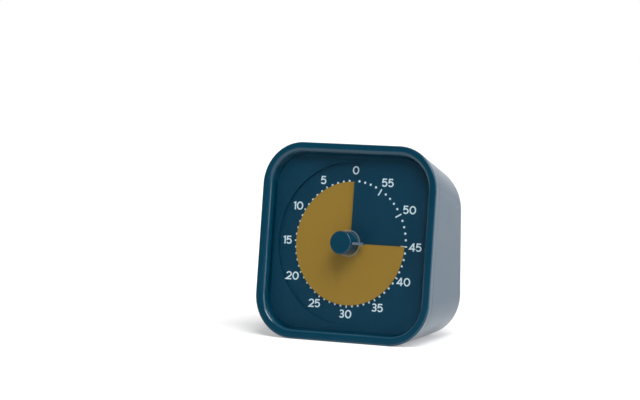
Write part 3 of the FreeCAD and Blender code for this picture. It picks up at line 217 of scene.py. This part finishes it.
# %% [markdown]
# The lens is a clear moulded sheet. Light goes straight through such a thin sheet, so a refracting glass
# shader would only add noise: a Transparent shader with a faint tint does, mixed with a sharp reflection
# by Fresnel, which grows at shallow angles. Only the outer faces mirror: seen from inside the sheet,
# Fresnel would count a ray that isn't bent as fully mirrored and would shut the light out. The bevel of
# the hole for the knob gets a painted highlight: a pale translucent and diffuse colour, mixed in at almost
# half strength, stands in for the bright ring of light on that cut edge. That bevel is found by its
# distance from the face's middle, in the face's own frame.

# %% The clear lens
HOLE_RADIUS = 5.75
BEVEL = 0.35
BEVEL_HIGHLIGHT_PAINT = 0.45
into_face = face_place.inverted()
made, tree, output = new_material("clear moulded acrylic sheet")
place = add_node(tree, "ShaderNodeTexCoord").outputs["Object"]
on_face = add_node(tree, "ShaderNodeMapping", {
    "Vector": place, "Location": into_face.to_translation(),
    "Rotation": into_face.to_euler()}).outputs["Vector"]
flat = add_node(tree, "ShaderNodeVectorMath", {
    0: on_face, 1: (1, 1, 0)}, operation="MULTIPLY").outputs["Vector"]
from_middle = add_node(tree, "ShaderNodeVectorMath", {0: flat}, operation="LENGTH").outputs["Value"]
# The mask of the painted highlight: everything inside the bevel's outer radius.
bevel_highlight_mask = add_node(tree, "ShaderNodeMath", {
    0: from_middle, 1: (HOLE_RADIUS + BEVEL) * MM}, operation="LESS_THAN").outputs[0]
clear = add_node(tree, "ShaderNodeBsdfTransparent", {"Color": (0.975, 0.982, 0.985, 1)})
gloss = add_node(tree, "ShaderNodeBsdfGlossy", {"Color": (1, 1, 1, 1), "Roughness": 0.03})
inner = add_node(tree, "ShaderNodeNewGeometry").outputs["Backfacing"]
outer = add_node(tree, "ShaderNodeMath", {0: 1.0, 1: inner}, operation="SUBTRACT").outputs[0]
fresnel = add_node(tree, "ShaderNodeFresnel", {"IOR": 1.49}).outputs["Fac"]
mirrors = add_node(tree, "ShaderNodeMath", {0: fresnel, 1: outer}, operation="MULTIPLY").outputs[0]
sheet_look = add_node(tree, "ShaderNodeMixShader", {
    0: mirrors, 1: clear.outputs["BSDF"], 2: gloss.outputs["BSDF"]})
# Painted highlight: a pale translucent and diffuse colour on the hole's bevel stands in for the bright ring
# of light there.
painted_highlight_translucent = add_node(tree, "ShaderNodeBsdfTranslucent", {"Color": colour("D9E2E6")})
painted_highlight_diffuse = add_node(tree, "ShaderNodeBsdfDiffuse", {"Color": colour("C9D3D8")})
painted_highlight_look = add_node(tree, "ShaderNodeMixShader", {
    0: 0.5, 1: painted_highlight_translucent.outputs["BSDF"], 2: painted_highlight_diffuse.outputs["BSDF"]})
painted_highlight_amount = add_node(tree, "ShaderNodeMath", {0: bevel_highlight_mask, 1: BEVEL_HIGHLIGHT_PAINT}, operation="MULTIPLY").outputs[0]
whole = add_node(tree, "ShaderNodeMixShader", {
    0: painted_highlight_amount, 1: sheet_look.outputs["Shader"], 2: painted_highlight_look.outputs["Shader"]})
tree.links.new(whole.outputs["Shader"], output.inputs["Surface"])
finish["lens_clear"] = made
print("lens hole, mm:", 2 * HOLE_RADIUS)

# %% [markdown]
# Each CAD node came with one plain material, named after its slot. The loop puts the finished material in
# the same place, so a node's shape is untouched and only its look changes.

# %% Dress the CAD nodes
dressed = 0
for node in nodes.values():
    for place_in_node in node.material_slots:
        slot_name = place_in_node.material.name.split(".")[0]
        place_in_node.material = finish[slot_name]
        dressed += 1
print("material slots dressed:", dressed)

# %% [markdown]
# The dial is not quite flat. It is one turn of a shallow screw ramp, so that the disk can wind in under
# the dial at twelve o'clock. The ramp starts 6.6 mm behind the rim on the left of the slit and climbs 1.6
# mm anticlockwise. Printing has to lie on it, so a function gives the dial's height under any point.

# %% The dial's height under the printing
RAMP_START = -6.6
RAMP_LEAD = 1.6
RAMP_RADIUS = 37.5
LANDING_WIDE = 2.6
LANDING_INNER = 29.2
LANDING_OUTER = 37.4

def dial_height(x, y):
    """Height of the dial's face under a point, in mm in the face's frame."""
    r = hypot(x, y)
    if r > RAMP_RADIUS:
        return RAMP_START + RAMP_LEAD
    if 0 <= x <= LANDING_WIDE and y > 0 and LANDING_INNER <= r <= LANDING_OUTER:
        return RAMP_START
    return RAMP_START + RAMP_LEAD * ((atan2(-x, y) / (2 * pi)) % 1)

print("dial height at 3, 6 and 9 o'clock:", dial_height(30, 0), dial_height(0, -30), dial_height(-30, 0))

# %% [markdown]
# The ink is a pale bluish white, pad-printed about 0.03 mm thick. It covers well and is a little glossier
# than the dial. A fifth of its thickness, or a tenth under the minute marks, lies inside the dial, so
# that no gap shows.

# %% Printing ink
finish["ink"] = moulded_plastic("pad-printed pale ink", "D2E6EE", 0.4, grain_mm=0.3, grain_depth=0.002,
                                uneven=0.02)
INK = 0.03
INK_SUNK = 0.2
MARK_RISE = 0.4
print("ink thickness, mm:", INK)

# %% [markdown]
# The minute marks are a rule: sixty places on a ring, a bar at every fifth one, a dot at the others, and
# nothing at twelve o'clock. Geometry Nodes state it once. A circle gives the places, an index gives each
# its number, and the remainder of a division by five chooses between the two marks. Realize Instances
# turns them into real geometry. The bars sit a little further in than the dots. Set Position then lets
# each point climb the dial's ramp by its own angle.

# %% Minute marks, as a Geometry Nodes tree
marks_tree = bpy.data.node_groups.new("minute marks", "GeometryNodeTree")
marks_tree.interface.new_socket("Geometry", in_out="OUTPUT", socket_type="NodeSocketGeometry")
MARK_SIZES = {"Ring Radius": 28.7 * MM, "Dot Diameter": 1.06 * MM, "Bar Length": 3.3 * MM,
              "Bar Width": 0.62 * MM, "Bar Inset": 0.95 * MM,
              "Ink Thickness": INK * MM, "Ramp Start": RAMP_START * MM, "Ramp Lead": RAMP_LEAD * MM}
for title in MARK_SIZES:
    marks_tree.interface.new_socket(title, in_out="INPUT", socket_type="NodeSocketFloat")
sizes = add_node(marks_tree, "NodeGroupInput").outputs

def maths(tree, operation, first, second=0.0):
    """One sum in a Geometry Nodes tree."""
    return add_node(tree, "ShaderNodeMath", {0: first, 1: second}, operation=operation).outputs[0]

PLACES = 60
NOON = 15
ring = add_node(marks_tree, "GeometryNodeMeshCircle", {"Vertices": PLACES, "Radius": sizes["Ring Radius"]})
number = add_node(marks_tree, "GeometryNodeInputIndex").outputs[0]
is_fifth = maths(marks_tree, "LESS_THAN", maths(marks_tree, "MODULO", number, 5.0), 0.5)
is_noon = maths(marks_tree, "COMPARE", number, float(NOON))
is_minute = maths(marks_tree, "SUBTRACT", 1.0, is_fifth)
is_bar = maths(marks_tree, "SUBTRACT", is_fifth, is_noon)
dot = add_node(marks_tree, "GeometryNodeMeshCylinder", {
    "Vertices": 24, "Radius": maths(marks_tree, "MULTIPLY", sizes["Dot Diameter"], 0.5),
    "Depth": sizes["Ink Thickness"]})
bar_size = add_node(marks_tree, "ShaderNodeCombineXYZ", {
    "X": sizes["Bar Length"], "Y": sizes["Bar Width"], "Z": sizes["Ink Thickness"]})
inset = add_node(marks_tree, "ShaderNodeCombineXYZ", {
    "X": maths(marks_tree, "MULTIPLY", sizes["Bar Inset"], -1.0)})
bar = add_node(marks_tree, "GeometryNodeTransform", {
    "Geometry": add_node(marks_tree, "GeometryNodeMeshCube", {"Size": bar_size.outputs[0]}).outputs["Mesh"],
    "Translation": inset.outputs[0]})
bar_turn = add_node(marks_tree, "ShaderNodeCombineXYZ", {
    "Z": maths(marks_tree, "MULTIPLY", number, 2 * pi / PLACES)})
minutes = add_node(marks_tree, "GeometryNodeInstanceOnPoints", {
    "Points": ring.outputs["Mesh"], "Instance": dot.outputs["Mesh"], "Selection": is_minute})
fives = add_node(marks_tree, "GeometryNodeInstanceOnPoints", {
    "Points": ring.outputs["Mesh"], "Instance": bar.outputs["Geometry"], "Selection": is_bar,
    "Rotation": bar_turn.outputs[0]})
both = add_node(marks_tree, "GeometryNodeJoinGeometry")
marks_tree.links.new(minutes.outputs[0], both.inputs[0])
marks_tree.links.new(fives.outputs[0], both.inputs[0])
real = add_node(marks_tree, "GeometryNodeRealizeInstances", {"Geometry": both.outputs[0]})
position = add_node(marks_tree, "GeometryNodeInputPosition").outputs[0]
here = add_node(marks_tree, "ShaderNodeSeparateXYZ", {"Vector": position}).outputs
turns = maths(marks_tree, "DIVIDE", maths(marks_tree, "ARCTAN2", here["Y"], here["X"]), 2 * pi)
from_noon = maths(marks_tree, "FRACT", maths(marks_tree, "SUBTRACT", turns, 0.25))
risen = maths(marks_tree, "MULTIPLY", from_noon, sizes["Ramp Lead"])
climb = maths(marks_tree, "ADD", risen, sizes["Ramp Start"])
stand = maths(marks_tree, "MULTIPLY", sizes["Ink Thickness"], MARK_RISE)
lift = add_node(marks_tree, "ShaderNodeCombineXYZ", {"Z": maths(marks_tree, "ADD", climb, stand)})
laid = add_node(marks_tree, "GeometryNodeSetPosition", {
    "Geometry": real.outputs[0], "Offset": lift.outputs[0]})
inked = add_node(marks_tree, "GeometryNodeSetMaterial", {
    "Geometry": laid.outputs[0], "Material": finish["ink"]})
add_node(marks_tree, "NodeGroupOutput", {"Geometry": inked.outputs[0]})
print("nodes in the minute marks tree:", len(marks_tree.nodes))

# %% [markdown]
# An export reads plain meshes, so the modifier's result is copied into one. The mesh is then moved to its
# place on the object, while its object stays at the origin. The same function will finish every grown
# piece.

# %% Grow a piece from its tree
def grow(tree, values, piece_name):
    """Evaluates a tree once and returns its result as a plain mesh object."""
    seed = bpy.data.objects.new(piece_name + " seed", bpy.data.meshes.new(piece_name + " seed"))
    bpy.context.scene.collection.objects.link(seed)
    growth = seed.modifiers.new("growth", "NODES")
    growth.node_group = tree
    for item in tree.interface.items_tree:
        if item.in_out == "INPUT" and item.name in values:
            growth[item.identifier] = values[item.name]
    ready = seed.evaluated_get(bpy.context.evaluated_depsgraph_get())
    mesh = bpy.data.meshes.new_from_object(ready)
    bpy.data.objects.remove(seed)
    piece = bpy.data.objects.new(piece_name, mesh)
    bpy.context.scene.collection.objects.link(piece)
    return piece

minute_marks = grow(marks_tree, MARK_SIZES, "minute_marks")
minute_marks.data.transform(face_place)
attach(minute_marks, "housing")
print("minute marks:", len(minute_marks.data.polygons), "faces")

# %% [markdown]
# The numbers are set in a plain round-bowled sans. A stroke of even width is all that such a figure is,
# so each is drawn as one or two pen paths, and the pen leaves a flat strip of ink. At a corner the
# strip's edges are mitred, which keeps its width. Only the figures 0 to 5 are needed.

# %% Pen paths of the figures
def bowl(cx, cy, rx, ry, start, end, steps=20):
    """Points along part of an oval, from one angle in degrees to another."""
    turn = [radians(start + (end - start) * i / steps) for i in range(steps + 1)]
    return [(cx + rx * cos(a), cy + ry * sin(a)) for a in turn]

PEN = 0.62
MITRE_LIMIT = 0.4
SAME_POINT = 1e-6
FIGURES = {
    "0": [bowl(0, 0, 1.28, 1.72, 90, 450, 40)],
    "1": [[(-0.66, 1.22), (0.2, 1.62), (0.2, -2.0)]],
    "2": [bowl(-0.02, 0.66, 1.06, 1.05, 165, -38) + [(-1.06, -1.71), (1.25, -1.71)]],
    "3": [bowl(-0.05, 0.87, 0.86, 0.85, 152, -90) + [(-0.5, 0.02)], bowl(-0.05, -0.83, 1.0, 0.87, 90, -152)],
    "4": [[(0.5, 1.8), (-1.28, -0.86), (0.3, -0.86)], [(0.6, 2.0), (0.6, -2.0)],
          [(0.9, -0.86), (1.42, -0.86)]],
    "5": [[(1.05, 1.7), (-0.72, 1.7), (-0.9, 0.1)] + bowl(-0.02, -0.62, 1.12, 1.09, 138, -150)],
}

def pen_strip(path, width):
    """The two edges of a strip of even width along a path, mitred at its corners."""
    points = [Vector(p) for p in path]
    closed = (points[0] - points[-1]).length < SAME_POINT
    left, right = [], []
    for i, point in enumerate(points):
        before = points[i - 1] if i else (points[-2] if closed else None)
        after = points[i + 1] if i + 1 < len(points) else (points[1] if closed else None)
        ways = [(b - a).normalized() for a, b in ((before, point), (point, after)) if a and b]
        way = sum(ways, Vector((0, 0))).normalized()
        across = Vector((-way.y, way.x))
        reach = width / 2 / max(across.dot(Vector((-ways[0].y, ways[0].x))), MITRE_LIMIT)
        left.append(point + across * reach)
        right.append(point - across * reach)
    return left, right

print("figures:", sorted(FIGURES))

# %% [markdown]
# A strip becomes a thin closed slab: its under side is a hair inside the dial and its top stands proud by
# the thickness of the ink. Every corner asks the dial for its height, so the figures lie on the ramp. A
# ring of numbers set by eye isn't a perfect circle: wide ones stand off more at the sides, and narrow
# ones sit closer, so that each has the same gap to its bar. The nudges hold that.

# %% Print the numbers
NUMBER_RADIUS = 33.3
FIGURE_GAP = 0.4
WIDER = 1.05
LOWER = 0.94
WELD = 1e-4
NUDGES = {0: (0, 0.3), 5: (0.2, -0.45), 10: (0, -0.6), 15: (0, 0),
          20: (-0.7, 0.3), 25: (-0.35, 0.55), 30: (-0.2, 1.05), 35: (-0.5, 0.45),
          40: (-0.3, 0.75), 45: (0.15, 0), 50: (0.7, 0.1), 55: (0.95, -0.3)}

def print_figure(bm, figure, x, y):
    """Adds one figure's slabs of ink to a bmesh, with its middle at x, y on the face."""
    for path in FIGURES[figure]:
        left, right = pen_strip(path, PEN)
        rows = []
        for a, b in zip(left, right):
            spots = [(p.x * WIDER + x, p.y * LOWER + y) for p in (a, b)]
            high = [bm.verts.new((u, v, dial_height(u, v) + INK)) for u, v in spots]
            low = [bm.verts.new((u, v, dial_height(u, v) - INK_SUNK * INK)) for u, v in spots]
            rows.append((high[0], high[1], low[1], low[0]))
        for one, two in zip(rows, rows[1:]):
            for i in range(4):
                j = (i + 1) % 4
                bm.faces.new((one[i], two[i], two[j], one[j]))
        bm.faces.new(rows[0])
        bm.faces.new(rows[-1][::-1])

def figure_edges(figure):
    """How far a figure reaches to the left and right of its own middle."""
    xs = [p.x * WIDER for path in FIGURES[figure] for side in pen_strip(path, PEN) for p in side]
    return min(xs), max(xs)

bm = bmesh.new()
for minute in range(0, 60, 5):
    angle = 2 * pi * minute / 60
    middle = Vector((-sin(angle), cos(angle))) * NUMBER_RADIUS + Vector(NUDGES[minute])
    edges = [figure_edges(f) for f in str(minute)]
    wide = sum(b - a for a, b in edges) + FIGURE_GAP * (len(edges) - 1)
    pen_x = middle.x - wide / 2
    for figure, (a, b) in zip(str(minute), edges):
        print_figure(bm, figure, pen_x - a, middle.y)
        pen_x += b - a + FIGURE_GAP
bmesh.ops.remove_doubles(bm, verts=bm.verts, dist=WELD)
bmesh.ops.recalc_face_normals(bm, faces=bm.faces)
farthest = max(hypot(v.co.x, v.co.y) for v in bm.verts)
bm.transform(face_place @ Matrix.Scale(MM, 4))
mesh = bpy.data.meshes.new("dial_numbers")
bm.to_mesh(mesh)
bm.free()
mesh.materials.append(finish["ink"])
dial_numbers = bpy.data.objects.new("dial_numbers", mesh)
bpy.context.scene.collection.objects.link(dial_numbers)
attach(dial_numbers, "housing")
print("numbers reach", round(farthest, 2), "mm from the middle, in", len(mesh.polygons), "faces")

# %% [markdown]
# The floor is a wide pale disc and the backdrop is the world behind it. To the camera and in reflections
# both are white, as in a photograph on a light table, while their light on the object stays at a plain
# level. The floor keeps a diffuse part for the camera too, so that the shadow under the timer shows.

# %% Floor
FLOOR_RADIUS = 3.0
PAPER_LIFT = 0.3
bm = bmesh.new()
bmesh.ops.create_circle(bm, cap_ends=True, radius=FLOOR_RADIUS, segments=96)
mesh = bpy.data.meshes.new("floor")
bm.to_mesh(mesh)
bm.free()
floor = bpy.data.objects.new("floor", mesh)
bpy.context.scene.collection.objects.link(floor)
made, tree, output = new_material("white paper sweep")
rays = add_node(tree, "ShaderNodeLightPath").outputs
paper = add_node(tree, "ShaderNodeBsdfDiffuse", {"Color": colour("E8E8E8")})
seen = maths(tree, "MAXIMUM", rays["Is Camera Ray"], maths(
    tree, "MAXIMUM", rays["Is Glossy Ray"], rays["Is Transmission Ray"]))
lifted = add_node(tree, "ShaderNodeEmission", {
    "Color": (1, 1, 1, 1), "Strength": maths(tree, "MULTIPLY", seen, PAPER_LIFT)})
sum_of_both = add_node(tree, "ShaderNodeAddShader", {0: paper.outputs["BSDF"], 1: lifted.outputs["Emission"]})
tree.links.new(sum_of_both.outputs["Shader"], output.inputs["Surface"])
floor.data.materials.append(made)
print("floor radius, m:", FLOOR_RADIUS)

# %% [markdown]
# One broad soft lamp stands high on the right in front, a weaker one low at the right side, and the world
# fills the rest. A Sun lamp with a wide angle is a soft box that lights the whole floor evenly. The room
# in front of the timer is dim, as it is behind a photographer, so the clear lens has nothing bright to
# mirror, while the bright sweep at the back and sides gives the side of the housing its pale sheen.

# %% Light
def soft_lamp(name, strength, width, come_from):
    """A soft box far away, of so many degrees, that shines from a direction."""
    lamp = bpy.data.objects.new(name, bpy.data.lights.new(name, "SUN"))
    lamp.data.energy = strength
    lamp.data.angle = radians(width)
    lamp.rotation_euler = Vector(come_from).to_track_quat("Z", "Y").to_euler()
    bpy.context.scene.collection.objects.link(lamp)

soft_lamp("key lamp", 2.4, 30, (0.42, -0.47, 0.78))
soft_lamp("side lamp", 1.7, 50, (0.93, -0.05, 0.35))

world = bpy.data.worlds.new("studio")
bpy.context.scene.world = world
world.use_nodes = True
tree = world.node_tree
tree.nodes.clear()
rays = add_node(tree, "ShaderNodeLightPath").outputs
way_out = add_node(tree, "ShaderNodeTexCoord").outputs["Generated"]
towards = add_node(tree, "ShaderNodeSeparateXYZ", {"Vector": way_out}).outputs
DIM_UP_TO = -0.55
BRIGHT_FROM = 0.25
FILL = 0.36
behind = add_node(tree, "ShaderNodeMapRange", {
    "Value": towards["Y"], "From Min": DIM_UP_TO, "From Max": BRIGHT_FROM,
    "To Min": 0.0, "To Max": 1.0}).outputs["Result"]
seen = maths(tree, "MAXIMUM", rays["Is Camera Ray"], rays["Is Transmission Ray"])
mirrored = maths(tree, "MULTIPLY", rays["Is Glossy Ray"], behind)
other = maths(tree, "SUBTRACT", 1.0, maths(tree, "MAXIMUM", seen, rays["Is Glossy Ray"]))
level = maths(tree, "ADD", maths(tree, "ADD", seen, mirrored), maths(tree, "MULTIPLY", other, FILL))
sky = add_node(tree, "ShaderNodeBackground", {"Color": (1, 1, 1, 1), "Strength": level})
add_node(tree, "ShaderNodeOutputWorld", {"Surface": sky.outputs["Background"]})
print("fill:", FILL)

# %% [markdown]
# The camera stands where the photographer stood. Its place was worked out from the ring of sixty dots and
# from the outline: a long lens, from the right and a little above. A slight roll is in the picture too.

# %% Camera
AROUND = radians(29.15)
ABOVE = radians(5.04)
ROLL = radians(0.305)
LENS_MM = 168.75
SENSOR_MM = 36.0
AIM = Vector((-7.32, -27.58, 65.06)) * MM
DISTANCE = 1.359
back = Vector((sin(AROUND) * cos(ABOVE), -cos(AROUND) * cos(ABOVE), sin(ABOVE)))
side = Vector((cos(AROUND), sin(AROUND), 0))
top = back.cross(side)
rolled_side = side * cos(ROLL) + top * sin(ROLL)
rolled_top = back.cross(rolled_side)
camera = bpy.data.objects.new("camera", bpy.data.cameras.new("camera"))
camera.data.lens = LENS_MM
camera.data.sensor_width = SENSOR_MM
turn = Matrix((rolled_side, rolled_top, back)).transposed().to_4x4()
camera.matrix_world = Matrix.Translation(AIM + back * DISTANCE) @ turn
bpy.context.scene.collection.objects.link(camera)
bpy.context.scene.camera = camera
bpy.context.scene.view_settings.view_transform = "Standard"
print("camera at", [round(v, 3) for v in camera.matrix_world.to_translation()])
